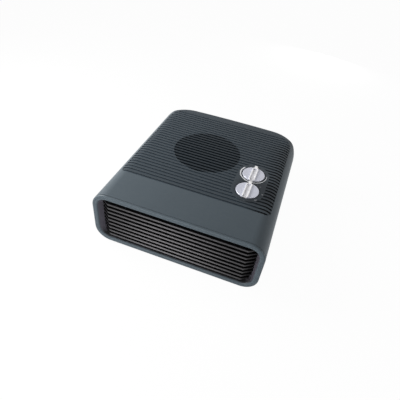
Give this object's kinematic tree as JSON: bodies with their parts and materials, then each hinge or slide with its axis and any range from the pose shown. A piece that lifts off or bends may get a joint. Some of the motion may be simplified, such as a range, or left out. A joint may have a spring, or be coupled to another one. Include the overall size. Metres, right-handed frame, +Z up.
{
  "type": "ceramic fan heater",
  "caption": "Flat ceramic fan heater with a rounded casing, a slatted front outlet, a ribbed top with a round intake, and turning thermostat and selector knobs.",
  "frame": {"origin": "centre of the heater's outline on the table, under the feet", "axes": "-Y is the front with the air outlet, +X the viewer's right, +Z up"},
  "size_m": [0.26, 0.3028, 0.0984],
  "materials": {
    "casing": "fine satin slate grey moulding",
    "cover": "satin dark slate grey moulding",
    "grille": "satin dark grey moulding",
    "knob": "silver metallic paint",
    "foot": "matte",
    "blower": "matte black moulding",
    "steel": "zinc plated",
    "core": "laminated sheet",
    "winding": "enamelled copper wire",
    "bearing": "sintered bronze",
    "aluminium": "rolled sheet",
    "stone": "fired ceramic",
    "terminal": "plain brass",
    "moulded_insulation": "dark moulding"
  },
  "bodies": {
    "casing": {"base_tray": "casing", "upper_casing": "casing", "front_bezel": "casing", "ribbed_cover": "cover", "outlet_grille": "grille", "feet": "foot", "blower_scroll": "blower", "blower_inlet_plate": "blower", "outlet_duct": "blower", "element_frame": "blower", "cord_gland": "blower", "gland_nut": "blower", "cord_clamp": "blower", "casing_screws": "steel", "control_bracket": "steel", "control_nuts": "steel", "bracket_screws": "steel", "blower_screws": "steel", "motor_upper_bracket": "steel", "motor_lower_bracket": "steel", "motor_screws": "steel", "clamp_screws": "steel", "motor_stator": "core", "motor_coil": "winding", "motor_bearings": "bearing", "element_fins": "aluminium", "ceramic_stones": "stone", "element_terminals": "terminal", "thermostat_body": "moulded_insulation", "rotary_switch_body": "moulded_insulation", "thermal_cutout": "moulded_insulation", "thermal_fuse": "moulded_insulation", "terminal_block": "moulded_insulation"},
    "thermostat": {"thermostat_knob": "knob", "thermostat_spindle": "steel"},
    "selector": {"selector_knob": "knob", "rotary_switch_spindle": "steel"},
    "fan": {"impeller": "blower", "motor_shaft": "steel", "motor_rotor": "aluminium"}
  },
  "joints": [
    {"name": "thermostat_turn", "type": "hinge", "parent": "casing", "child": "thermostat", "pos_m": [0.075, -0.0042, 0.0954], "axis": [0, 0, 1], "range_deg": [0, 270]},
    {"name": "selector_turn", "type": "hinge", "parent": "casing", "child": "selector", "pos_m": [0.075, -0.0469, 0.0954], "axis": [0, 0, 1], "range_deg": [-135, 0]},
    {"name": "fan_spin", "type": "hinge", "parent": "casing", "child": "fan", "pos_m": [-0.0126, 0.0219, 0.05], "axis": [0, 0, 1], "continuous": true}
  ]
}
